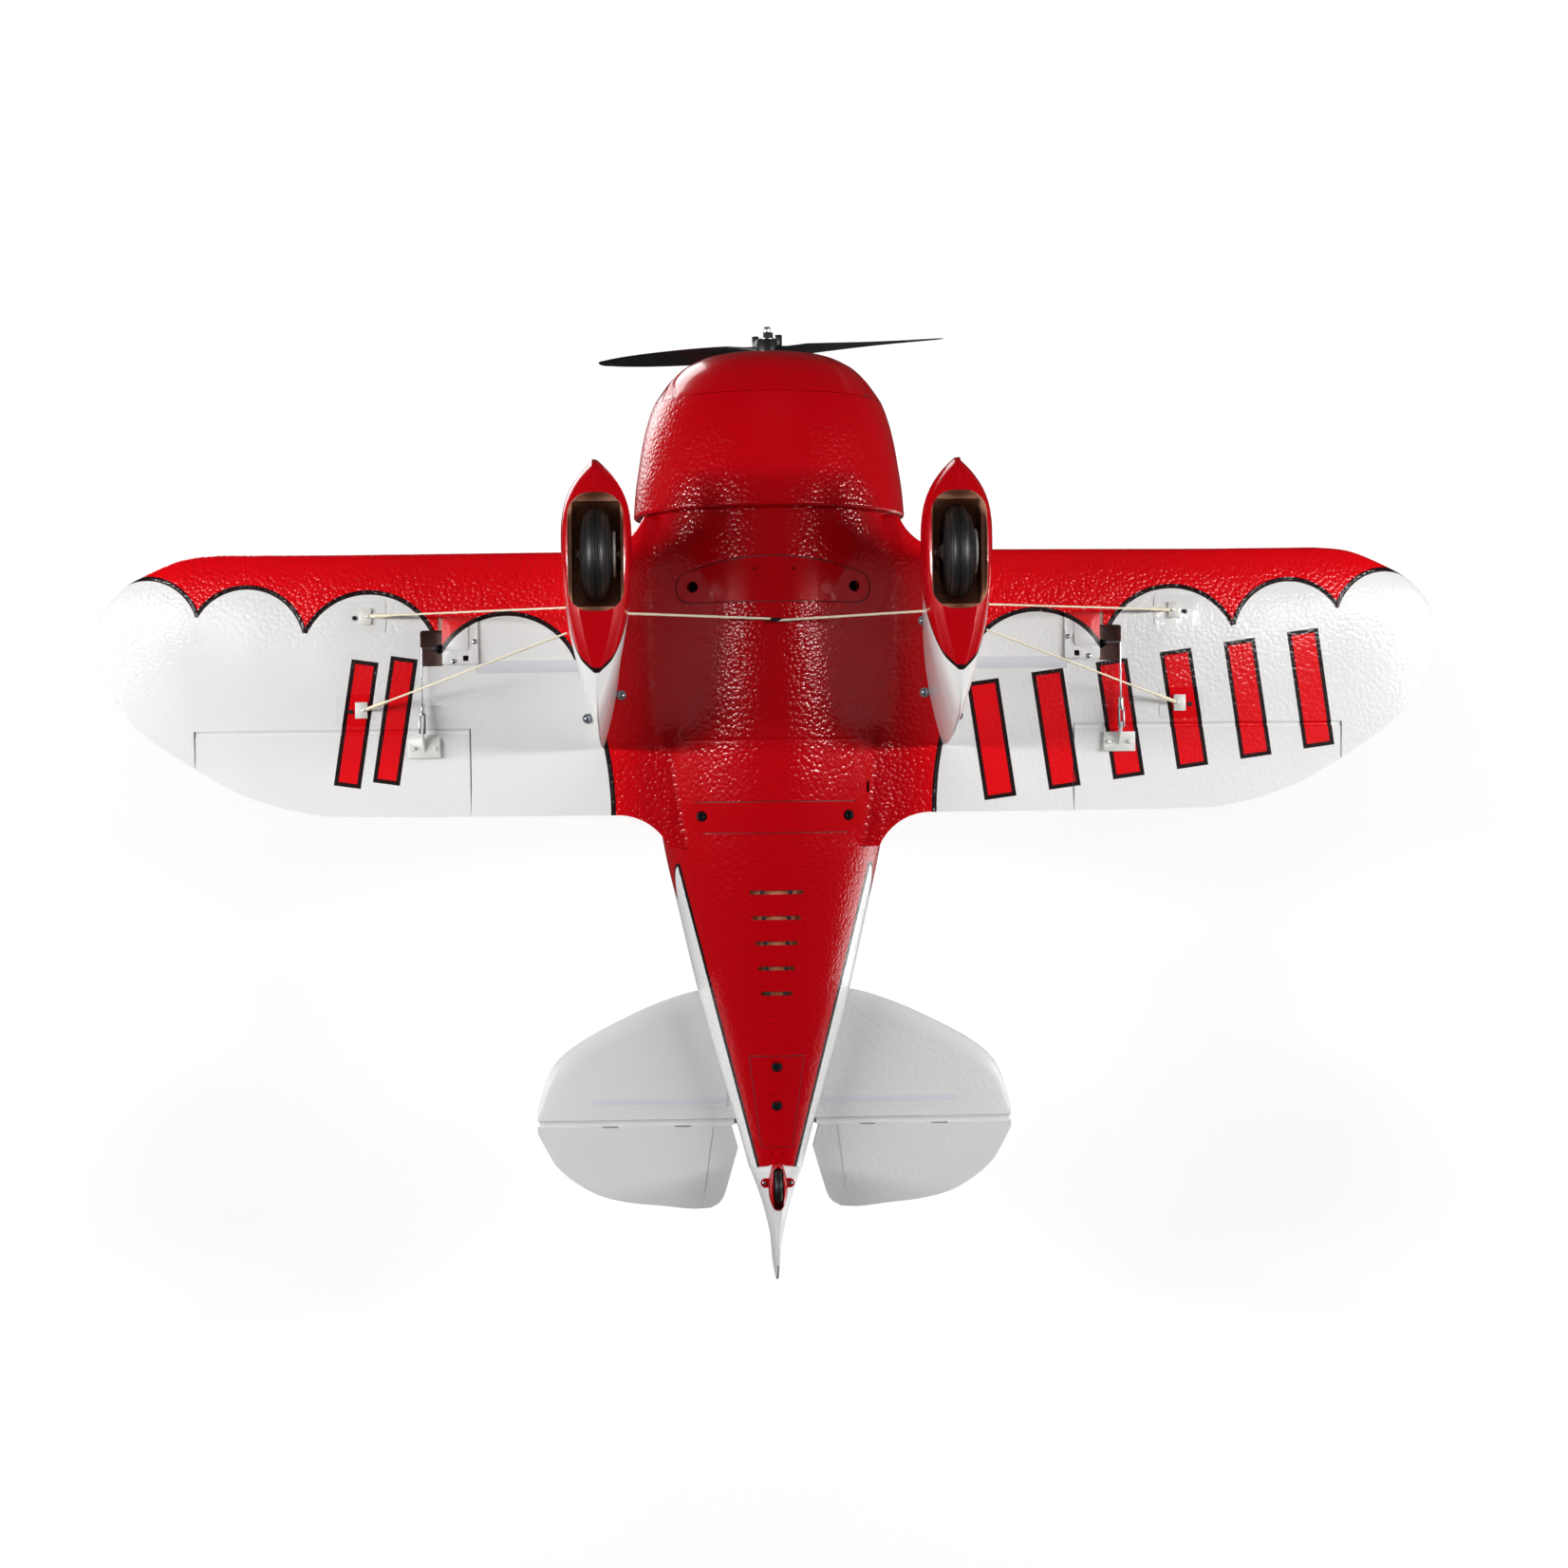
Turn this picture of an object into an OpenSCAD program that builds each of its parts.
// Radio-control foam racing airplane, level-flight attitude.
// Nose towards -Y, tail towards +Y, +Z up, +X is the model's own left side.
// The origin is the free end of the propeller shaft, on the thrust line.

/* [Wing] */
// Half of the wing span along the panel
half_span = 506; // [496:1:512]
// Upward angle of each wing panel in degrees
dihedral = 3.5; // [2.5:0.1:4.5]
// Height of the chord plane at the middle of the wing
wing_z = -52; // [-53:0.5:-51]
// Thickness of the wing section as a share of its chord
wing_thick = 0.115; // [0.105:0.001:0.12]

/* [Propeller] */
// Radius swept by the propeller
prop_r = 140; // [120:1:152]
// Distance flown in one turn
prop_pitch = 152; // [100:1:200]
// Resting angle of the blades around the shaft in degrees
prop_rest = 23; // [0:1:90]
// Diameter of the propeller shaft
shaft_d = 5; // [5:0.5:5]

/* [Wheels] */
// Radius of each main wheel
wheel_r = 32.5; // [30:0.5:34]
// Width of each main wheel
wheel_w = 22; // [16:0.5:23]
// Distance of each main wheel from the middle
wheel_x = 126; // [125:0.5:127]
// Height of the main axle
wheel_z = -160; // [-161:0.5:-159]
// Radius of the tail wheel
tail_wheel_r = 11.5; // [9:0.5:12]

/* [Fuselage] */
// Wall thickness of the foam shells
wall = 8; // [6:0.5:9]
// Segments around half of a fuselage section
fus_seg = 18; // [12:2:22]

/* [Controls] */
// Length of each wing servo arm and wing horn, pivot to pivot
ail_arm = 16; // [14:0.5:17]
// Length of each tail servo arm and tail horn, pivot to pivot
tail_arm = 12; // [10:0.5:12]

/* [Hidden] */
$fn = 48;

red = [0.72, 0.04, 0.05];
foam_white = [0.93, 0.92, 0.9];
black = [0.07, 0.07, 0.08];
steel = [0.7, 0.71, 0.73];
ply = [0.78, 0.62, 0.4];
nylon = [0.9, 0.9, 0.88];

// ---------- tables and smooth interpolation ----------
// Fuselage stations: Y, half width, top height, bottom height
FUS = [[121, 92, 92, -92], [147, 95.3, 95.6, -95.6], [200, 98, 101, -99.5], [260, 97, 104, -98.5], [330, 91, 103, -92],
    [393, 82, 97, -82], [450, 69.5, 88, -69.5], [501, 57.8, 78, -57], [560, 41.5, 64, -42], [600, 30, 54, -32],
    [638, 19.9, 44.5, -22.5]];
// Cowl outline: Y, radius
COWL = [[24, 40], [25.3, 46], [27.5, 53], [31.8, 61.4], [35.4, 66.8], [43.4, 74.7], [53.4, 82], [60.7, 86.5],
    [74.4, 91.4], [89.6, 95.1], [104.7, 97.7], [125, 100.7], [144.4, 102.3]];
// Wing plan: distance along the panel, leading edge Y, trailing edge Y
WING = [[0, 173.6, 368.5], [320, 173.4, 367.6], [355, 173.1, 362.9], [393, 172.8, 351.1], [414, 172.8, 340.2], [438.6, 175.8, 325.2],
    [468.5, 188.3, 304.3], [484, 197.8, 287.7], [496.8, 213.1, 266.8], [504.4, 234, 250]];
// Stabilizer and elevator plan: X, leading edge Y, trailing edge Y
STAB = [[0, 500, 660], [57, 502.5, 667.6], [87, 511, 665], [114, 522.8, 661.8], [135, 533.5, 656], [153, 544.4, 645.5],
    [166, 556, 634], [173, 569, 622.5], [180, 593, 609]];
stab_z = 12;
hinge_y = 305.1;
elev_y = 602.2;
rud_y = 638;
servo_y = 244;
tail_servo_y = 470;
tw_y = 643.8;

function seg(t, y, i = 0) = (i >= len(t) - 2 || y <= t[i + 1][0]) ? i : seg(t, y, i + 1);
function slope(t, i, k) = i <= 0 ? (t[1][k] - t[0][k]) / (t[1][0] - t[0][0])
    : i >= len(t) - 1 ? (t[i][k] - t[i - 1][k]) / (t[i][0] - t[i - 1][0])
    : (t[i + 1][k] - t[i - 1][k]) / (t[i + 1][0] - t[i - 1][0]);
function tab(t, y, k = 1) = let (i = seg(t, y), h = t[i + 1][0] - t[i][0], u = (y - t[i][0]) / h,
    a = slope(t, i, k) * h, b = slope(t, i + 1, k) * h)
    (2*u*u*u - 3*u*u + 1) * t[i][k] + (u*u*u - 2*u*u + u) * a + (-2*u*u*u + 3*u*u) * t[i + 1][k] + (u*u*u - u*u) * b;
function lin(t, y, k = 1) = let (i = seg(t, y), u = (y - t[i][0]) / (t[i + 1][0] - t[i][0])) t[i][k] + u * (t[i + 1][k] - t[i][k]);

// Half outline of the fuselage at station y, from the top to the bottom, grown by g
function fus_pts(y, g, n) = let (w = tab(FUS, y, 1) + g, t = tab(FUS, y, 2) + g, b = tab(FUS, y, 3) - g, c = (t + b) / 2)
    [for (i = [0:n]) let (a = 180 * i / n) [w * sin(a), c + (t - c) * cos(a)]];
function mirror_x(p) = [for (q = p) [-q[0], q[1], q[2]]];

// Closed loops of equal length joined into a solid with fan caps
module loft(loops) {
    m = len(loops);
    n = len(loops[0]);
    pts = [for (l = loops) each l];
    side = [for (j = [0:m - 2]) for (i = [0:n - 1]) let (k = (i + 1) % n, a = j * n + i, b = j * n + k, c = a + n, d = b + n)
        each [[a, b, d], [a, d, c]]];
    caps = [[for (i = [n - 1:-1:0]) i], [for (i = [0:n - 1]) (m - 1) * n + i]];
    polyhedron(points = pts, faces = outwards(pts, concat(side, caps)), convexity = 8);
}
// Faces in the order that makes the volume positive
function fan_vol(p, f) = total([for (i = [1:len(f) - 2]) p[f[0]] * cross(p[f[i]], p[f[i + 1]])]);
function total(v) = v * [for (i = v) 1];
function outwards(p, fs) = total([for (f = fs) fan_vol(p, f)]) < 0 ? fs : [for (f = fs) [for (i = [len(f) - 1:-1:0]) f[i]]];

// One side of a hollow shell: station loops made of an outer run and an inner run of equal length
module half_shell(ys, outer, inner) {
    m = len(ys);
    n = len(outer[0]);
    w = 2 * n;
    pts = [for (j = [0:m - 1]) each concat(
        [for (p = outer[j]) [p[0], ys[j], p[1]]],
        [for (i = [n - 1:-1:0]) [inner[j][i][0], ys[j], inner[j][i][1]]])];
    side = [for (j = [0:m - 2]) for (i = [0:w - 1]) let (k = (i + 1) % w, a = j * w + i, b = j * w + k, c = a + w, d = b + w)
        each [[a, d, b], [a, c, d]]];
    cap0 = [for (i = [0:n - 2]) [i, i + 1, w - 2 - i, w - 1 - i]];
    cap1 = [for (i = [0:n - 2]) let (o = (m - 1) * w) [o + w - 1 - i, o + w - 2 - i, o + i + 1, o + i]];
    polyhedron(points = pts, faces = outwards(pts, concat(side, cap0, cap1)), convexity = 10);
}

module rod(p, q, r) {
    d = q - p;
    l = norm(d);
    translate(p) rotate([0, acos(d[2] / l), atan2(d[1], d[0])]) cylinder(h = l, r = r);
}
module ydisc(y0, y1, r, x = 0, z = 0) translate([x, y0, z]) rotate([-90, 0, 0]) cylinder(h = y1 - y0, r = r);
module xdisc(x0, x1, r, y = 0, z = 0) translate([x0, y, z]) rotate([0, 90, 0]) cylinder(h = x1 - x0, r = r);
module side(s) { if (s > 0) children(); else mirror([1, 0, 0]) children(); }
module wing_frame(s) side(s) translate([0, 0, wing_z]) rotate([0, -dihedral, 0]) children();

// ---------- fuselage ----------
fus_ys = [121, 134, 147, 165, 183, 200, 220, 240, 260, 283, 306, 330, 352, 373, 393, 412, 431, 450, 467, 484, 501, 521, 541, 560, 580, 600, 619, 638];

module fus_solid(g = 0, y0 = 0, y1 = 700) loft([for (y = fus_ys) if (y >= y0 && y <= y1) let (p = fus_pts(y, g, fus_seg)) concat(
    [for (q = p) [q[0], y, q[1]]], [for (i = [fus_seg - 1:-1:1]) [-p[i][0], y, p[i][1]]])]);
module fus_half_shell() {
    outer = [for (y = fus_ys) let (p = fus_pts(y, 0, fus_seg)) [for (q = p) [max(q[0], 0.05), q[1]]]];
    inner = [for (y = fus_ys) let (p = fus_pts(y, -wall, fus_seg)) [for (q = p) [max(q[0], 0.05), q[1]]]];
    half_shell(fus_ys, outer, inner);
}
// Rounded front of the rudder, grown by g: one loop for each height
function rud_half(z) = abs(z - 11) < 35 ? max(6, 19.4 * sqrt(1 - pow((z - 11) / 36.5, 2))) : 6;
function rud_te(z) = lin([[-30, 695], [-27, 706], [-15, 716], [0, 720.5], [25, 722], [75, 722], [100, 718], [120, 709], [134, 693], [141, 668]], z);
rud_zs = [-30, -26.5, -22, -15, -5, 5, 17, 27, 35, 40, 44, 47, 60, 80, 100, 115, 127, 135, 141];
function rud_loop(z, g) = let (r = rud_half(z) + g, te = rud_te(z), n = 8)
    concat([for (i = [0:n]) let (a = 180 * i / n) [-r * cos(a) , rud_y - r * sin(a), z]],
        [for (u = [0.12, 0.3, 0.5, 0.75, 1]) [0.8 + 4.6 * (1 - u) + max(0, r - 5.4) * pow(1 - u, 2.2) + (u < 1 ? 0.3 : 0), rud_y + (te - rud_y) * u, z]],
        [for (u = [1, 0.75, 0.5, 0.3, 0.12]) [-(0.8 + 4.6 * (1 - u) + max(0, r - 5.4) * pow(1 - u, 2.2) + (u < 1 ? 0.3 : 0)), rud_y + (te - rud_y) * u, z]]);
module rudder_front(g) difference() {
    loft([for (i = [0:len(rud_zs) - 1]) rud_loop(rud_zs[i] + (i == 0 ? -3 : i == len(rud_zs) - 1 ? 3 : 0), g)]);
    translate([-60, rud_y + 4, -80]) cube([120, 200, 300]);
}
tail_slope = atan((tab(FUS, 616.4, 3) - tab(FUS, 548.5, 3)) / 67.9);
function tail_plate_z(y) = tab(FUS, 548.5, 3) + 0.4 + (y - 548.5) * tan(tail_slope);
module tail_plate_frame() translate([0, 548.5, tail_plate_z(548.5)]) rotate([tail_slope, 0, 0]) children();
module fuselage_half(s) side(s) difference() {
    fus_half_shell();
    // saddle for the wing and the belly pan
    translate([-5, 146.6, -120]) cube([120, 246, 82]);
    // top of the wing root
    translate([0, 0, wing_z]) rotate([0, -dihedral, 0]) wing_loft(0.35, 224);
    // hatch opening
    translate([-5, 165, 58]) cube([50, 170, 60]);
    // cockpit opening
    translate([-5, 440, 40]) cube([25, 55, 60]);
    // slot for the stabilizer
    translate([-5, 499, stab_z - 5.6]) cube([80, 105.6, 11.2]);
    // rear end, hollowed for the round front of the rudder
    loft([for (z = [-32, -26, -20, -10, 0, 11, 22, 32, 40, 46, 52]) [for (i = [0:12]) let (a = 180 * i / 12, r = rud_half(z) + 0.9)
        i == 0 ? [-r, 641, z] : i == 12 ? [r, 641, z] : [-r * cos(a), rud_y - r * sin(a), z]]]);
    // louvre slots in the belly
    for (i = [0:4]) translate([-5, 424.6 + 18.75 * i, -90 + 4.6 * i]) cube([24.8 - 2.05 * i, 2.6, 40]);
    // recess for the tail cover plate
    tail_plate_frame() translate([-17, -0.4, -20]) cube([29, 69.4, 22.4]);
}
module fuselage_left_half() color(red) fuselage_half(1);
module fuselage_right_half() color(red) fuselage_half(-1);

module firewall() color(ply) difference() {
    ydisc(116, 120.7, 86);
    for (a = [0:60:300]) rotate([0, a, 0]) ydisc(110, 130, 11, 56, 0);
    ydisc(110, 130, 7);
}

// ---------- cowl, engine and motor ----------
module cowl_shell(y0, y1, t) {
    n = 14;
    rotate([-90, 0, 0]) rotate_extrude($fn = 96)
        polygon(concat([for (i = [0:n]) let (y = y0 + (y1 - y0) * i / n) [tab(COWL, y), y]],
            [for (i = [n:-1:0]) let (y = y0 + (y1 - y0) * i / n) [tab(COWL, y) - t, y]]));
}
module cowl_body() color(red) {
    cowl_shell(61, 144.4, 6);
}
module cowl_front_ring() color(red) rotate([-90, 0, 0]) rotate_extrude($fn = 96)
    polygon(concat([[33.5, 33], [33.8, 29], [35, 26], [37.5, 24.3]],
        [for (i = [0:9]) let (y = 24 + 36.7 * i * i / 81) [tab(COWL, y), y]],
        [[84.2, 60.7]],
        [for (i = [8:-1:1]) let (y = 24 + 36.7 * i * i / 81) [tab(COWL, y) - 2.2, y + 1.8]],
        [[39.5, 26.6], [37, 28], [35.8, 30.5], [35.5, 33]]));

module engine_cylinder() {
    // finned barrel turned as one profile, then the head and two tubes
    rotate_extrude() polygon(concat([[0, 25], [8, 25], [8, 32]],
        [for (k = [0:4]) each [[8, 33 + 5.6 * k], [10.4, 33 + 5.6 * k], [10.4, 35 + 5.6 * k], [8, 35 + 5.6 * k]]], [[8, 62], [0, 62]]));
    translate([-7.5, -14, 60.5]) cube([15, 21.5, 10]);
    for (k = [-1, 1]) translate([3.8 * k, -12.3, 24.5]) cylinder(h = 38, r = 1.1);
}
module radial_engine_dummy() color([0.35, 0.35, 0.36]) {
    difference() {
        union() {
            ydisc(47, 74.5, 27);
            ydisc(71, 75, 60);
        }
        ydisc(40, 80, 23);
    }
    for (i = [0:8]) rotate([0, i * 40, 0]) translate([0, 62, 0]) engine_cylinder();
}
module motor_mount() color([0.2, 0.2, 0.22]) difference() {
    union() {
        ydisc(70.4, 73.4, 21);
        for (a = [45:90:315]) rotate([0, a, 0]) ydisc(72, 115.8, 3.5, 16.5, 0);
    }
    ydisc(60, 80, 4);
}
module motor_stator() color([0.72, 0.45, 0.2]) difference() {
    union() {
        ydisc(44.5, 61, 14.9);
        ydisc(60, 68, 6);
        ydisc(66.2, 70.2, 14);
    }
    ydisc(30, 90, shaft_d / 2 + 0.06);
    for (a = [0:30:330]) rotate([0, a, 0]) ydisc(40, 61.5, 1.7, 12.2, 0);
}
module motor_bell() color(steel) {
    difference() {
        ydisc(40.5, 64, 17.5);
        ydisc(43.5, 70, 15.6);
        for (a = [0:60:300]) rotate([0, a, 0]) ydisc(35, 50, 3.2, 10.5, 0);
    }
    // threaded end outside the nut, then the slightly thinner rest of the shaft
    ydisc(0, 4.1, shaft_d / 2);
    ydisc(4, 68, shaft_d / 2 - 0.2);
    ydisc(37.5, 41, 6);
}
module prop_adapter() color(steel) {
    difference() {
        union() {
            translate([0, 4.3, 0]) rotate([-90, 0, 0]) cylinder(h = 4.6, r = 4.62, $fn = 6);
            ydisc(8.8, 9.9, 6);
        }
        ydisc(0, 12, shaft_d / 2 + 0.05);
    }
    difference() {
        union() {
            ydisc(26.1, 28.6, 9);
            ydisc(28.5, 37, 6);
        }
        ydisc(20, 40, shaft_d / 2 + 0.05);
    }
}
// Blade stations: radius, chord, thickness
BLADE = [[8, 10, 6.5], [18, 12.5, 4.6], [35, 18, 3.2], [60, 24, 2.5], [85, 26, 2.1], [105, 24.5, 1.8], [122, 19.5, 1.5], [133, 13, 1.2], [139, 6, 0.9]];
module blade() loft([for (r = [8, 13, 18, 26, 35, 47, 60, 73, 85, 96, 106, 115, 122, 128, 133, 136.5, 139]) let (c = tab(BLADE, r, 1),
    h = tab(BLADE, r, 2) / 2, b = atan(prop_pitch / (2 * PI * max(r, 30))), n = 8)
    [for (i = [0:2 * n - 1]) let (a = 360 * i / (2 * n), u = cos(a) * c / 2, v = sin(a) * h + 0.06 * c * pow(sin(a / 2), 2) * 0,
        k = prop_r / 140) [-(8 + (r - 8) * k), 18.6 + v * cos(b) - u * sin(b), -(u * cos(b) + v * sin(b))]]]);
module propeller() color(black) rotate([0, prop_rest, 0]) difference() {
    union() {
        ydisc(10, 26, 9);
        blade();
        rotate([0, 180, 0]) blade();
        // two ears on the front face of the hub
        for (s = [-1, 1]) translate([s * 9.4 - 2.2, 6.6, -2]) cube([4.4, 8.4, 4]);
    }
    ydisc(0, 30, shaft_d / 2 + 0.05);
}

// ---------- hatch, cockpit and equipment ----------
module battery_hatch() color(red) intersection() {
    half_shell([for (y = fus_ys) if (y > 150 && y < 360) y],
        [for (y = fus_ys) if (y > 150 && y < 360) hatch_arc(y, 0)], [for (y = fus_ys) if (y > 150 && y < 360) hatch_arc(y, -wall)]);
    translate([-44.6, 165.4, 58.4]) cube([89.2, 169.2, 60]);
}
// Top part of a full section, from one side to the other
function hatch_arc(y, g) = let (w = tab(FUS, y, 1) + g, t = tab(FUS, y, 2) + g, b = tab(FUS, y, 3) - g, c = (t + b) / 2)
    [for (i = [-8:8]) let (a = 90 * i / 8) [w * sin(a), c + (t - c) * cos(a)]];
module hatch_magnets() color(steel) for (y = [172, 328]) for (x = [-30, 30])
    translate([x, y, tab(FUS, y, 2) - wall - 12]) cylinder(h = 3, r = 4);
CAN = [[417, 3, 94, 89], [424, 14, 103, 86], [434, 21, 114, 82], [446, 25, 122, 78], [460, 26.5, 125.5, 74], [476, 25.5, 126, 70], [490, 23, 124.5, 67], [502, 20.5, 122, 64]];
function arch(y, g, n) = let (w = tab(CAN, y, 1) - g, t = tab(CAN, y, 2) - g, b = tab(CAN, y, 3))
    [for (i = [0:n]) let (a = 90 * i / n) [w * sin(a), b + (t - b) * pow(cos(a), 0.8)]];
module canopy() color([0.6, 0.75, 0.85, 0.5]) difference() {
    loft([for (y = [417, 420, 424, 429, 434, 440, 446, 453, 460, 468, 476, 483, 490, 496, 502]) let (p = arch(y, 0, 8)) concat(
        [for (q = p) [q[0], y, q[1]]], [for (i = [8:-1:1]) [-p[i][0], y, p[i][1]]])]);
    loft([for (y = [423, 429, 434, 440, 446, 453, 460, 468, 476, 483, 490, 496, 503]) let (p = arch(min(y, 502), 1.3, 8)) concat(
        [for (q = p) [q[0], y, q[1]]], [for (i = [8:-1:1]) [-p[i][0], y, p[i][1]]])]);
    fus_solid(0.25, 390, 530);
}
module cockpit_tub() color([0.16, 0.15, 0.14]) {
    difference() {
        translate([-19.4, 440.6, 50]) cube([38.8, 53.8, 20]);
        translate([-17.9, 442.1, 51.5]) cube([35.8, 50.8, 30]);
    }
    translate([-11, 472, 51]) cube([22, 14, 5]);
    translate([-11, 484, 51]) cube([22, 3, 22]);
    translate([-17.8, 444, 51]) cube([35.6, 1.6, 17]);
    translate([0, 460, 51]) cylinder(h = 14, r = 1.2);
}
module battery() color([0.15, 0.2, 0.45]) {
    difference() {
        translate([-17.5, 215, -34.4]) cube([35, 105, 26]);
        for (x = [-18, 16.5]) translate([x, 210, -36]) cube([1.5, 120, 3]);
    }
    for (x = [-4, 4]) rod([x, 320.2, -24], [x, 329, -24], 1.8);
}
module plywood_trays() color(ply) {
    difference() {
        linear_extrude(height = 3) 
            polygon(concat([for (y = [150:20:390]) [tray_x(y), y]], [for (y = [390:-20:150]) [-tray_x(y), y]]));
        translate([-40, 190, -1]) cube([0.1, 0.1, 1]);
        for (s = [-1, 1]) for (b = [[59, 203], [54, 370]]) translate([s * b[0], b[1], -1]) cylinder(h = 5, r = 2.05);
        translate([0, 260, -1]) cylinder(h = 5, r = 12);
        for (y = [225, 300]) for (s = [-1, 1]) translate([s * 21 - 1.5, y, -1]) cube([3, 16, 5]);
    }
}
function tray_x(y) = let (w = tab(FUS, y, 1) - wall, t = tab(FUS, y, 2) - wall, b = tab(FUS, y, 3) + wall, c = (t + b) / 2)
    w * sqrt(1 - pow((-38 - c) / (c - b), 2)) - 0.8;
module speed_controller() color(black) {
    translate([-14, 153, -34.4]) cube([28, 52, 9]);
    for (i = [0:7]) translate([-12, 157 + 5.5 * i, -25.5]) cube([24, 1.6, 2.5]);
}
module receiver() color(black) {
    translate([-12, 338, -34.4]) cube([24, 38, 13]);
    for (i = [0:5]) translate([-8 + 2.9 * i, 375.9, -30]) cube([1.4, 4, 6]);
}

// ---------- wing ----------
// Half thickness of the section at chord position u, as a share of the chord
function foil(u) = 5 * wing_thick * (0.2969 * sqrt(u) - 0.126 * u - 0.3516 * u * u + 0.2843 * pow(u, 3) - 0.1015 * pow(u, 4)) + 0.004 * u;
function camber(u) = 0.018 * 4 * u * (1 - u);
foil_n = 10;
function wing_loop(x, dz = 0) = let (a = lin(WING, x, 1), c = lin(WING, x, 2) - a, f = x > 445 ? sqrt(max(0.02, 1 - pow((x - 445) / 61, 2))) : 1, xs = x * half_span / 506) concat(
    [for (i = [foil_n:-1:0]) let (u = (1 - cos(180 * i / foil_n)) / 2) [xs, a + c * u, f * c * (camber(u) + foil(u)) * (195 / max(c, 150)) + dz]],
    [for (i = [1:foil_n]) let (u = (1 - cos(180 * i / foil_n)) / 2) [xs, a + c * u, f * c * (camber(u) - foil(u)) * (195 / max(c, 150)) + dz]]);
wing_xs = [40, 130, 215, 224, 320, 355, 393, 414, 430, 445, 459, 472, 484, 493, 499.5, 504.4];
module wing_loft(dz = 0, x1 = 999) loft([for (x = wing_xs) if (x <= x1) wing_loop(x, dz)]);
module aileron_box(g) translate([223.5 + g, hinge_y - 1.8 + (g > 0 ? 4 : 0), -30]) cube([206 - 2 * g, 90, 60]);
// Height of the hinge line and servo line above the panel's chord plane
hinge_h = 3;
module wing_panel(s) difference() {
    union() {
        wing_frame(s) wing_loft();
        side(s) intersection() {
            fus_solid(0, 134, 420);
            translate([0.15, 147, -63]) cube([120, 245.6, 24.6]);
        }
    }
    wing_frame(s) {
        aileron_box(0);
        // carbon tube bore
        xdisc(-10, 330.2, 3.05, 212, 2);
        // servo pocket and arm slot
        translate([219.5, 221.6, -40]) cube([24, 33.8, 40 + 9.2]);
        translate([243, 230.5, -40]) cube([17, 27, 40 + 9.2]);
        for (p = pant_screws) translate([p[0], p[1], -30]) cylinder(h = 30 + wing_low(p[0], p[1]) + 2.6, r = 1);
        // hinge knuckle pockets
        for (x = [245, 325, 405]) {
            xdisc(x - 7, x + 7, 2.4, hinge_y, hinge_h);
            translate([x - 5.3, hinge_y - 12, hinge_h - 0.5]) cube([10.6, 12, 1]);
        }
    }
    // bolt holes
    side(s) for (b = [[59, 203], [54, 370]]) translate([b[0], b[1], -80]) cylinder(h = 60, r = 2.15);
}
module wing_left() color(foam_white) wing_panel(1);
module wing_right() color(foam_white) wing_panel(-1);
module aileron(s) wing_frame(s) difference() {
    intersection() {
        wing_loft();
        aileron_box(1);
    }
    for (x = [245, 325, 405]) translate([x - 7, hinge_y, hinge_h - 3]) cube([14, 3.4, 6]);
}
module aileron_left() color(foam_white) aileron(1);
module aileron_right() color(foam_white) aileron(-1);
module carbon_spars() color(black) {
    for (s = [-1, 1]) wing_frame(s) difference() {
        xdisc(4, 330, 3, 212, 2);
        xdisc(0, 340, 2, 212, 2);
    }
    for (s = [-1, 1]) translate([s > 0 ? 38 : -138, 582, stab_z - 4.9]) cube([100, 8, 0.8]);
}
module belly_pan() color(red) difference() {
    intersection() {
        fus_solid(0, 134, 420);
        translate([-120, 147, -110]) cube([240, 245.6, 46.6]);
    }
    for (b = [[59, 203], [54, 370]]) for (s = [-1, 1]) translate([s * b[0], b[1], -120]) cylinder(h = 80, r = 4.1);
    translate([-16, 229, -120]) cube([32, 3, 30]);
    translate([-45, 230, -84]) cube([90, 115, 30]);
}
module wing_bolt_plates() color(red) {
    difference() {
        intersection() {
            ydisc(188, 214, 101, 0, 0);
            translate([-70, 189, -120]) cube([140, 24, 80]);
        }
        ydisc(180, 220, 99.8, 0, 0);
        for (s = [-1, 1]) translate([s * 59, 203, -120]) cylinder(h = 80, r = 4);
        for (s = [-1, 1]) translate([s * 14, 191.5, -120]) cylinder(h = 80, r = 1.2);
    }
    difference() {
        intersection() {
            translate([0, 370, -2.3]) rotate([10.6, 0, 0]) ydisc(-10.6, 10.6, 85.6, 0, 0);
            translate([-62, 340, -120]) cube([124, 60, 70]);
        }
        translate([0, 370, -2.3]) rotate([10.6, 0, 0]) ydisc(-20, 20, 84.4, 0, 0);
        for (s = [-1, 1]) translate([s * 54, 370, -120]) cylinder(h = 80, r = 4);
    }
}
module wing_bolts() color(nylon) for (b = [[59, 203], [54, 370]]) for (s = [-1, 1]) translate([s * b[0], b[1], -67.2]) difference() {
    union() {
        cylinder(h = 4, r = 3.5);
        cylinder(h = 36, r = 2);
    }
    translate([0, 0, -1]) cylinder(h = 3.2, r = 1.8, $fn = 6);
}

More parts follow.
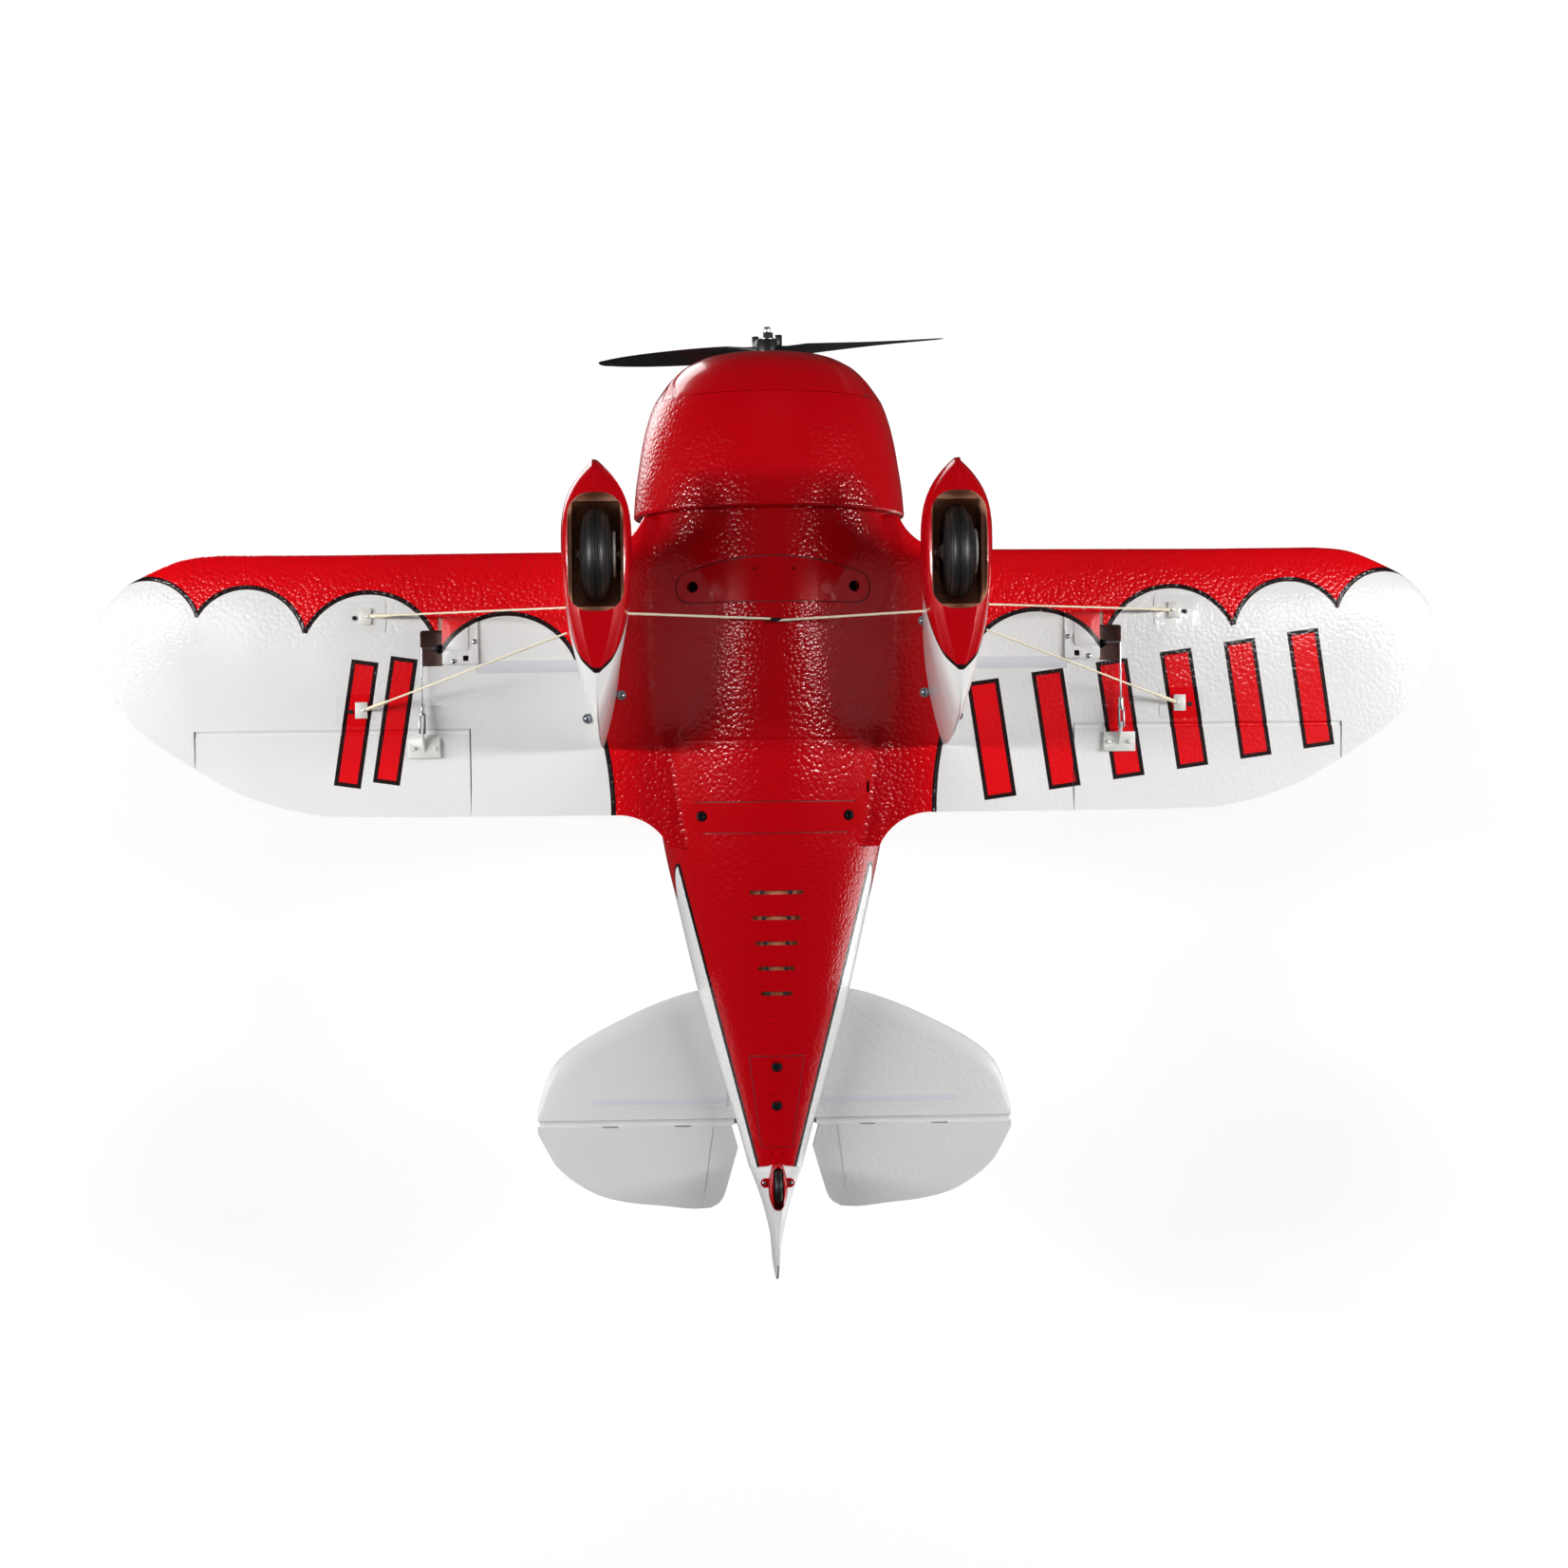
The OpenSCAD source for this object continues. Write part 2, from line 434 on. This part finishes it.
// ---------- aileron controls, in the panel's own frame ----------
ail_x = 258;
arm_x = 246;
servo_h = hinge_h;
module servo_box() {
    // output axis along +Z through the origin, output face at height 0
    difference() {
        union() {
            translate([-6.1, -5.9, -22.4]) cube([12.2, 22.8, 22.4]);
            translate([-6.1, -10.4, -6.6]) cube([12.2, 31.8, 2.5]);
            cylinder(h = 1.2, r = 5.9);
            translate([0, 8, 0]) cylinder(h = 1.2, r = 3);
            cylinder(h = 3.4, r = 1.9);
        }
        for (y = [-8.2, 19.2]) translate([0, y, -10]) cylinder(h = 8, r = 1);
    }
}
module servo_arm(l) difference() {
    union() {
        translate([0, 0, 1.6]) cylinder(h = 3.6, r = 3.4);
        translate([0, 0, 3.4]) linear_extrude(height = 1.6) polygon([[-3, 0], [-1.8, -l], [-1.2, -l - 2], [1.2, -l - 2], [1.8, -l], [3, 0]]);
    }
    translate([0, 0, 0]) cylinder(h = 4, r = 1.95);
    translate([0, -l, 0]) cylinder(h = 8, r = 0.75);
}
// Wing servo: output axis along the panel, body towards the middle, long side forwards
module wing_servo_place() translate([243.2, servo_y, servo_h]) rotate([0, 90, 0]) rotate([0, 0, 0]) children();
module aileron_servos() color([0.12, 0.15, 0.3]) for (s = [-1, 1]) wing_frame(s) wing_servo_place() mirror([0, 1, 0]) servo_box();
module aileron_servo_arm(s) wing_frame(s) translate([243.2, servo_y, servo_h]) rotate([0, 90, 0]) rotate([0, 0, 90]) servo_arm(ail_arm);
module aileron_servo_arm_left() color(black) aileron_servo_arm(1);
module aileron_servo_arm_right() color(black) aileron_servo_arm(-1);
module aileron_pushrod(s) wing_frame(s) {
    z = servo_h - ail_arm;
    // bent wire: through the arm, across, and aft to the clevis
    xdisc(245.6, ail_x, 0.65, servo_y, z);
    translate([ail_x, servo_y, z]) sphere(r = 0.65);
    ydisc(servo_y, hinge_y - 14, 0.65, ail_x, z);
    // clevis: barrel, fork and pin
    difference() {
        union() {
            ydisc(hinge_y - 20, hinge_y - 12, 2, ail_x, z);
            translate([ail_x - 2.4, hinge_y - 13, z - 1.9]) cube([4.8, 15, 3.8]);
        }
        translate([ail_x - 1, hinge_y - 10.5, z - 3]) cube([2, 16, 6]);
    }
    xdisc(ail_x - 1.5, ail_x + 1.5, 0.7, hinge_y, z);
}
module aileron_pushrod_left() color(steel) aileron_pushrod(1);
module aileron_pushrod_right() color(steel) aileron_pushrod(-1);
module aileron_horn(s) {
    // blade under the hinge line, base on the underside and two screws
    z = hinge_h - ail_arm;
    wing_frame(s) difference() {
        union() {
            translate([ail_x - 0.7, 0, 0]) rotate([90, 0, 90]) linear_extrude(height = 1.4)
                polygon([[hinge_y - 2.2, z - 2], [hinge_y + 2, z - 2.2], [hinge_y + 18, hinge_low], [hinge_y + 6, hinge_low], [hinge_y + 0.5, hinge_low - 3.4], [hinge_y - 2.2, z + 2]]);
            translate([ail_x - 12, hinge_y + 5.2, hinge_low - 1.4]) cube([24, 14.5, 1.6]);
        }
        xdisc(ail_x - 4, ail_x + 4, 0.8, hinge_y, z);
        for (k = [-1, 1]) translate([ail_x + 8 * k, hinge_y + 12.5, -30]) cylinder(h = 40, r = 0.9);
    }
    wing_frame(s) for (k = [-1, 1]) translate([ail_x + 8 * k, hinge_y + 12.5, hinge_low - 2.7]) {
        cylinder(h = 1.2, r = 1.85);
        cylinder(h = 3.3, r = 0.8);
    }
}
hinge_low = -5.3;
module aileron_horn_left() color(nylon) aileron_horn(1);
module aileron_horn_right() color(nylon) aileron_horn(-1);
module hinge_pins() color(nylon) {
    // barrel with its pin and the leaf set into the wing
    for (s = [-1, 1]) wing_frame(s) for (x = [245, 325, 405]) {
        xdisc(x - 5, x + 5, 1.3, hinge_y, hinge_h);
        translate([x - 5, hinge_y - 11.5, hinge_h - 0.4]) cube([10, 11.5, 0.8]);
    }
    for (s = [-1, 1]) for (x = [70, 125]) side(s) {
        xdisc(x - 5, x + 5, 1.2, elev_y, stab_z);
        translate([x - 5, elev_y - 9, stab_z - 0.4]) cube([10, 9, 0.8]);
    }
    for (z = [80, 118]) {
        translate([0, rud_y, z - 5]) cylinder(h = 10, r = 1.2);
        translate([-0.4, rud_y - 14, z - 5]) cube([0.8, 14, 10]);
    }
}
module servo_covers() color([0.85, 0.85, 0.84]) {
    for (s = [-1, 1]) wing_frame(s) difference() {
        translate([216.5, 221, -10.2]) cube([26.5, 35.5, 1.4]);
        translate([223.9, 249.6, -12]) cube([4, 4, 5]);
        for (p = [[219.4, 239.3], [234.9, 253.7]]) translate([p[0], p[1], -12]) cylinder(h = 6, r = 1.1);
    }
    // tail cover plate
    difference() {
        tail_plate_frame() translate([-11.6, 0, 0]) cube([23.2, 68.4, 2]);
        for (y = [555.7, 585.4]) translate([0, y, -60]) cylinder(h = 40, r = 1.1);
    }
}
module small_screw(l) { cylinder(h = 1.3, r = 1.85); cylinder(h = l, r = 0.9); }
module fixing_screws() color(steel) {
    for (s = [-1, 1]) wing_frame(s) for (p = [[219.4, 239.3], [234.9, 253.7]]) translate([p[0], p[1], -11.6]) small_screw(2.7);
    for (y = [555.7, 585.4]) translate([0, y, tail_plate_z(y) - 1.9]) small_screw(3);
    for (s = [-1, 1]) wing_frame(s) for (p = pant_screws) translate([p[0], p[1], wing_low(p[0], p[1]) - 1.4]) small_screw(3.6);
}
// Screws beside each trouser, through the lower wing skin
pant_screws = [[112, 280], [107.5, 227]];

// ---------- flying wires ----------
function on_panel(x, y, h) = [x * cos(dihedral) - h * sin(dihedral), y, wing_z + x * sin(dihedral) + h * cos(dihedral)];
wire_out = [[300, 220], [304, 289]];
wire_in = [[153.5, 222, -146], [153.5, 240, -146]];
function wing_low(x, y) = let (a = lin(WING, x, 1), c = lin(WING, x, 2) - a, u = (y - a) / c) c * (camber(u) - foil(u));
function wing_up(x, y) = let (a = lin(WING, x, 1), c = lin(WING, x, 2) - a, u = (y - a) / c) c * (camber(u) + foil(u));
module wire_one(p, q) {
    d = (q - p) / norm(q - p);
    rod(p + 4 * d, p + 24 * d, 1.6);
    rod(p + 24 * d, q, 0.75);
}
module flying_wires() color([0.9, 0.87, 0.78]) for (s = [-1, 1]) side(s) {
    for (i = [0, 1]) wire_one(on_panel(wire_out[i][0], wire_out[i][1], wing_low(wire_out[i][0], wire_out[i][1]) - 5.6), wire_in[i]);
    for (i = [0, 1]) wire_one(on_panel(wire_out[i][0], wire_out[i][1], wing_up(wire_out[i][0], wire_out[i][1]) + 5.6), [91.2, 222 + 30 * i, 48]);
    wire_one([99, 226, -141], [5, 228.5 + 2 * s, -100.5]);
}
module wire_anchors() color([0.8, 0.8, 0.8]) for (s = [-1, 1]) wing_frame(s) for (i = [0, 1]) for (k = [-1, 1]) {
    h = k < 0 ? wing_low(wire_out[i][0], wire_out[i][1]) : wing_up(wire_out[i][0], wire_out[i][1]);
    translate([wire_out[i][0], wire_out[i][1], h + k * 1.3]) {
        translate([-4.5, -6, -0.6]) cube([9, 12, 1.2]);
        difference() {
            translate([-2.6, 0, k * 2.4]) rotate([90, 0, 0]) translate([0, 0, -0.8]) cylinder(h = 1.6, r = 2.5);
            translate([-2.6, 0, k * 2.4]) rotate([90, 0, 0]) translate([0, 0, -3]) cylinder(h = 6, r = 1.2);
        }
    }
}

// ---------- landing gear ----------
// Trouser and spat levels: height, front Y, rear Y, half width
PANT = [[-47, 184, 319, 14], [-62, 178, 318.6, 14.5], [-80, 166, 318, 15.5], [-100, 150, 316, 17], [-120, 134, 313, 19.5], [-137, 124, 309, 22],
    [-152, 119.8, 304, 23.2], [-165, 120.5, 299, 23], [-175, 126, 291, 21.6], [-181, 137, 279, 18.8]];
function pant_foil(u) = 1.04 * (u < 0.32 ? sqrt(1 - pow((0.32 - u) / 0.325, 2)) : pow(cos(90 * pow((u - 0.32) / 0.68, 1.12)), 0.9)) + 0.02;
pant_us = [0, 0.02, 0.06, 0.12, 0.2, 0.3, 0.42, 0.55, 0.68, 0.8, 0.9, 0.97, 1];
function pant_loop(z) = let (a = tab(PANT2, -z, 1), b = tab(PANT2, -z, 2), w = tab(PANT2, -z, 3), n = len(pant_us)) concat(
    [for (i = [0:n - 1]) [wheel_x + w * max(0.03, pant_foil(pant_us[i])) * (pant_us[i] == 1 ? 0.5 : 1), a + (b - a) * pant_us[i], z]],
    [for (i = [n - 1:-1:0]) [wheel_x - w * max(0.03, pant_foil(pant_us[i])) * (pant_us[i] == 1 ? 0.5 : 1), a + (b - a) * pant_us[i], z]]);
PANT2 = [for (p = PANT) [-p[0], p[1], p[2], p[3]]];
gear_y = 186;
gear_path = [[120, 214, -54], [120, 214, -116], [110, gear_y, -126], [110, gear_y, wheel_z], [140.5, gear_y, wheel_z]];
module gear_wire(r, e = 0) {
    for (i = [0:3]) rod(gear_path[i], gear_path[i + 1], r);
    for (i = [1:3]) translate(gear_path[i]) sphere(r = r + 0.12);
    if (e > 0) rod(gear_path[0], gear_path[0] + [0, 0, 20], r);
}
module wheel_pant(s) side(s) difference() {
    loft([for (z = [-47, -55, -62, -71, -80, -90, -100, -110, -120, -129, -137, -145, -152, -159, -165, -170, -175, -178, -181]) pant_loop(z)]);
    translate([0, 0, wing_z - 0.2]) rotate([0, -dihedral, 0]) wing_loft();
    xdisc(wheel_x - 17, wheel_x + 17, 37, gear_y, wheel_z);
    translate([wheel_x - 19, 145, -200]) cube([38, 82, 200 - 163]);
    translate([wheel_x - 17, 149, -200]) cube([34, 74, 40]);
    gear_wire(2.3, 1);
}
module wheel_pant_left() color(red) wheel_pant(1);
module wheel_pant_right() color(red) wheel_pant(-1);
module gear_leg(s) side(s) {
    gear_wire(2);
    // collars each side of the wheel
    difference() {
        union() {
            xdisc(112.1, 114.6, 4, gear_y, wheel_z);
            xdisc(137.4, 140.4, 4, gear_y, wheel_z);
        }
        xdisc(111, 142, 1.9, gear_y, wheel_z);
    }
}
module gear_leg_left() color(steel) gear_leg(1);
module gear_leg_right() color(steel) gear_leg(-1);
module wheel_hub(s) side(s) color(nylon) difference() {
    union() {
        xdisc(wheel_x - wheel_w / 2 + 2, wheel_x + wheel_w / 2 - 2, 13.5, gear_y, wheel_z);
        xdisc(wheel_x - wheel_w / 2, wheel_x + wheel_w / 2, 5, gear_y, wheel_z);
    }
    xdisc(100, 150, 2.06, gear_y, wheel_z);
    for (a = [0:60:300]) translate([0, gear_y, wheel_z]) rotate([a, 0, 0]) for (k = [0, 1])
        translate([wheel_x + (k > 0 ? wheel_w / 2 - 4.5 : -wheel_w / 2 - 0.5), 9.2, 0]) rotate([0, 90, 0]) cylinder(h = 5, r = 2.4);
}
module tyre(s) side(s) color([0.1, 0.1, 0.1]) translate([wheel_x, gear_y, wheel_z]) rotate([0, 90, 0]) rotate_extrude($fn = 72)
    polygon([[13.6, -8.4], [18, -10], [24, -wheel_w / 2], [28.5, -9.6], [31.3, -6.4], [wheel_r, -2.4], [wheel_r, 2.4], [31.3, 6.4], [28.5, 9.6], [24, wheel_w / 2], [18, 10], [13.6, 8.4]]);
module wheel_hub_left() wheel_hub(1);
module wheel_hub_right() wheel_hub(-1);
module tyre_left() tyre(1);
module tyre_right() tyre(-1);

// ---------- tail ----------
// Fin stations: Y, half width, top height
FIN = [[504, 17.5, 121.5], [516, 14, 124], [530, 11.2, 127], [545, 9.2, 130.5], [560, 8, 134], [580, 7, 138], [600, 6.5, 140.5], [630.6, 6, 141]];
module fin() color(red) difference() {
    loft([for (y = [504, 510, 516, 523, 530, 538, 545, 560, 580, 600, 630.6]) let (w = tab(FIN, y, 1), t = tab(FIN, y, 2), n = 8)
        concat([[w * (1 + 0.25 * (630 - y) / 126), y, 20]], [for (i = [0:n]) let (a = 180 * i / n) [w * cos(a), y, t - w * 0.8 + w * 0.8 * sin(a)]], [[-w * (1 + 0.25 * (630 - y) / 126), y, 20]])]);
    fus_solid(0.25, 484, 700);
    for (z = [80, 118]) translate([-0.45, rud_y - 15, z - 5.5]) cube([0.9, 10, 11]);
}
function stab_loop(x) = let (a = lin(STAB, abs(x), 1), h = abs(x) > 150 ? 4.5 - 2.4 * pow((abs(x) - 150) / 30, 2) : 4.5, e = elev_y - 2) [
    [x, a, stab_z - 1], [x, a, stab_z + 1], [x, a + 3, stab_z + h * 0.6], [x, min(a + 12, e - 2), stab_z + h * 0.92], [x, e - 1, stab_z + h], [x, e, stab_z + h],
    [x, e, stab_z - h], [x, e - 1, stab_z - h], [x, min(a + 12, e - 2), stab_z - h * 0.92], [x, a + 3, stab_z - h * 0.6]];
module stabilizer() color(foam_white) difference() {
    loft([for (x = [-179, -176, -172, -166, -158, -150, -135, -114, -87, -57, -30, 30, 57, 87, 114, 135, 150, 158, 166, 172, 176, 179]) stab_loop(x)]);
    for (s = [-1, 1]) translate([s > 0 ? 37.8 : -138.2, 581.8, stab_z - 10]) cube([100.4, 8.4, 6]);
    for (s = [-1, 1]) for (x = [70, 125]) translate([s * x - 5.5, elev_y - 10, stab_z - 0.45]) cube([11, 10, 0.9]);
    // notch for the elevator horn
    translate([-11.6, elev_y - 8, stab_z - 8]) cube([4.8, 10, 16]);
}
function elev_loop(x) = let (b = lin(STAB, abs(x), 2), h = abs(x) > 150 ? 4.5 - 2.4 * pow((abs(x) - 150) / 30, 2) : 4.5, e = elev_y + 2.2) [
    [x, e, stab_z - h], [x, e, stab_z + h], [x, e + (b - e) * 0.5, stab_z + h * 0.66], [x, b, stab_z + 0.9], [x, b, stab_z - 0.9], [x, e + (b - e) * 0.5, stab_z - h * 0.66]];
module elevator_half(s) side(s) difference() {
    loft([for (x = [26, 40, 57, 87, 114, 135, 150, 158, 166, 172, 176, 179]) elev_loop(x)]);
    // inner edge clears the tail cone and the rudder's swing
    translate([0, 0, stab_z - 10]) linear_extrude(height = 20) polygon([[0, 590], [33.5, 590], [33.5, 604], [28.5, 622], [41, 666], [41, 680], [0, 680]]);
    for (x = [70, 125]) translate([x - 6, elev_y, stab_z - 6]) cube([12, 3.2, 12]);
    // socket for the joiner
    xdisc(0, 62, 2.05, elev_y + 8, stab_z);
    translate([25, elev_y, stab_z - 2.1]) cube([12.6, 10.2, 4.2]);
}
module elevator_left() color(foam_white) elevator_half(1);
module elevator_right() color(foam_white) elevator_half(-1);
// Wire through the tail cone: runs along the hinge line, then steps back into each half
module elevator_joiner() color(steel) {
    difference() {
        union() {
            xdisc(-24.5, 24.5, 1.9, elev_y, stab_z);
            translate([-10, elev_y, stab_z]) rotate([90, 0, 90]) linear_extrude(height = 1.6) polygon([[-1.8, 0], [-1.8, tail_arm + 2], [1.8, tail_arm + 2], [1.8, 0]]);
        }
        xdisc(-12, -5, 0.8, elev_y, stab_z + tail_arm);
    }
    for (s = [-1, 1]) side(s) {
        xdisc(23, 35.8, 1.9, elev_y, stab_z);
        translate([35.5, elev_y, stab_z]) sphere(r = 1.9);
        ydisc(elev_y, elev_y + 8, 1.9, 35.5, stab_z);
        translate([35.5, elev_y + 8, stab_z]) sphere(r = 1.9);
        xdisc(35.5, 60, 1.9, elev_y + 8, stab_z);
    }
}
module rudder() {
    rudder_foam();
    // horn plate in its slot
    color(nylon) difference() {
        translate([7, rud_y - 3, 24.2]) cube([8.5, 8.95, 1.6]);
        translate([tail_arm, rud_y, 20]) cylinder(h = 10, r = 0.8);
    }
}
module rudder_foam() color(red) difference() {
    loft([for (z = rud_zs) rud_loop(z, 0)]);
    // slot for the horn and its rod
    translate([5, rud_y - 30, 22]) cube([30, 36, 12]);
    translate([-3, rud_y - 30, 22]) cube([20, 17, 12]);
    for (z = [80, 118]) translate([-3, rud_y - 8, z - 6]) cube([6, 10, 12]);
}
module tail_wheel_fairing() color(red) {
    difference() {
        union() {
            translate([0, tw_y + 2.2, -30.4]) mirror([0, 0, 1]) loft([for (k = [[0, 18, 7.2], [6, 18, 7.2], [13, 17, 6.8], [18, 15, 6], [21, 11, 4.6]]) [for (i = [0:19]) let (a = 18 * i) [k[2] * cos(a), k[1] * sin(a), k[0]]]]);
            translate([-12.5, tw_y - 3.8, -32.2]) cube([25, 7, 1.8]);
        }
        translate([-3.7, tw_y - 19.8, -80]) cube([7.4, 44, 45.5]);
        xdisc(-12, 12, 0.85, tw_y, -47.5);
        for (k = [-1, 1]) translate([9.6 * k, tw_y - 0.3, -40]) cylinder(h = 20, r = 1);
    }
    // axle, its ends flush with the cheeks
    xdisc(-6.2, 6.2, 0.85, tw_y, -47.5);
    for (k = [-1, 1]) translate([9.6 * k, tw_y - 0.3, -33.5]) {
        cylinder(h = 1.25, r = 1.85);
        cylinder(h = 3.05, r = 0.9);
    }
}
module tail_wheel() color([0.1, 0.1, 0.1]) translate([0, tw_y, -47.5]) rotate([0, 90, 0]) rotate_extrude($fn = 60)
    polygon([[0.93, -2.9], [6, -2.9], [8.2, -2.3], [10.6, -2.6], [tail_wheel_r, -1.5], [tail_wheel_r, 1.5], [10.6, 2.6], [8.2, 2.3], [6, 2.9], [0.93, 2.9]]);
el_x = -9;
module tail_servos() color([0.12, 0.15, 0.3]) {
    // rudder servo stands upright, elevator servo lies on its side
    translate([0, tail_servo_y, 21]) rotate([0, 0, 180]) servo_box();
    translate([-13, tail_servo_y, stab_z]) rotate([0, 90, 0]) mirror([0, 1, 0]) servo_box();
}
module elevator_servo_arm() color(black) translate([-13, tail_servo_y, stab_z]) rotate([0, 90, 0]) rotate([0, 0, -90]) servo_arm(tail_arm);
module rudder_servo_arm() color(black) translate([0, tail_servo_y, 21]) rotate([0, 0, 90]) servo_arm(tail_arm);
module tail_rod(x, z, y1, vertical) {
    if (vertical) {
        translate([x, tail_servo_y, z - 3]) cylinder(h = 3, r = 0.65);
        translate([x, tail_servo_y, z]) sphere(r = 0.65);
        ydisc(tail_servo_y, y1, 0.65, x, z);
        translate([x, y1, z]) sphere(r = 0.65);
        translate([x, y1, z - 3]) cylinder(h = 3, r = 0.65);
    } else {
        xdisc(x - 3, x, 0.65, tail_servo_y, z);
        translate([x, tail_servo_y, z]) sphere(r = 0.65);
        ydisc(tail_servo_y, y1, 0.65, x, z);
        translate([x, y1, z]) sphere(r = 0.65);
        xdisc(x - 3, x, 0.65, y1, z);
    }
}
module elevator_pushrod() color(steel) tail_rod(-7.2, stab_z + tail_arm, elev_y, false);
module rudder_pushrod() color(steel) tail_rod(tail_arm, 27, rud_y, true);

fuselage_left_half();
fuselage_right_half();
firewall();
cowl_body();
cowl_front_ring();
radial_engine_dummy();
motor_mount();
motor_stator();
motor_bell();
prop_adapter();
propeller();
battery_hatch();
hatch_magnets();
canopy();
cockpit_tub();
battery();
plywood_trays();
speed_controller();
receiver();
wing_left();
wing_right();
carbon_spars();
belly_pan();
wing_bolt_plates();
wing_bolts();
aileron_left();
aileron_right();
hinge_pins();
aileron_servos();
aileron_servo_arm_left();
aileron_servo_arm_right();
aileron_pushrod_left();
aileron_pushrod_right();
aileron_horn_left();
aileron_horn_right();
servo_covers();
fixing_screws();
flying_wires();
wire_anchors();
wheel_pant_left();
wheel_pant_right();
gear_leg_left();
gear_leg_right();
wheel_hub_left();
wheel_hub_right();
tyre_left();
tyre_right();
fin();
stabilizer();
elevator_left();
elevator_right();
elevator_joiner();
rudder();
tail_wheel_fairing();
tail_wheel();
tail_servos();
elevator_servo_arm();
rudder_servo_arm();
elevator_pushrod();
rudder_pushrod();
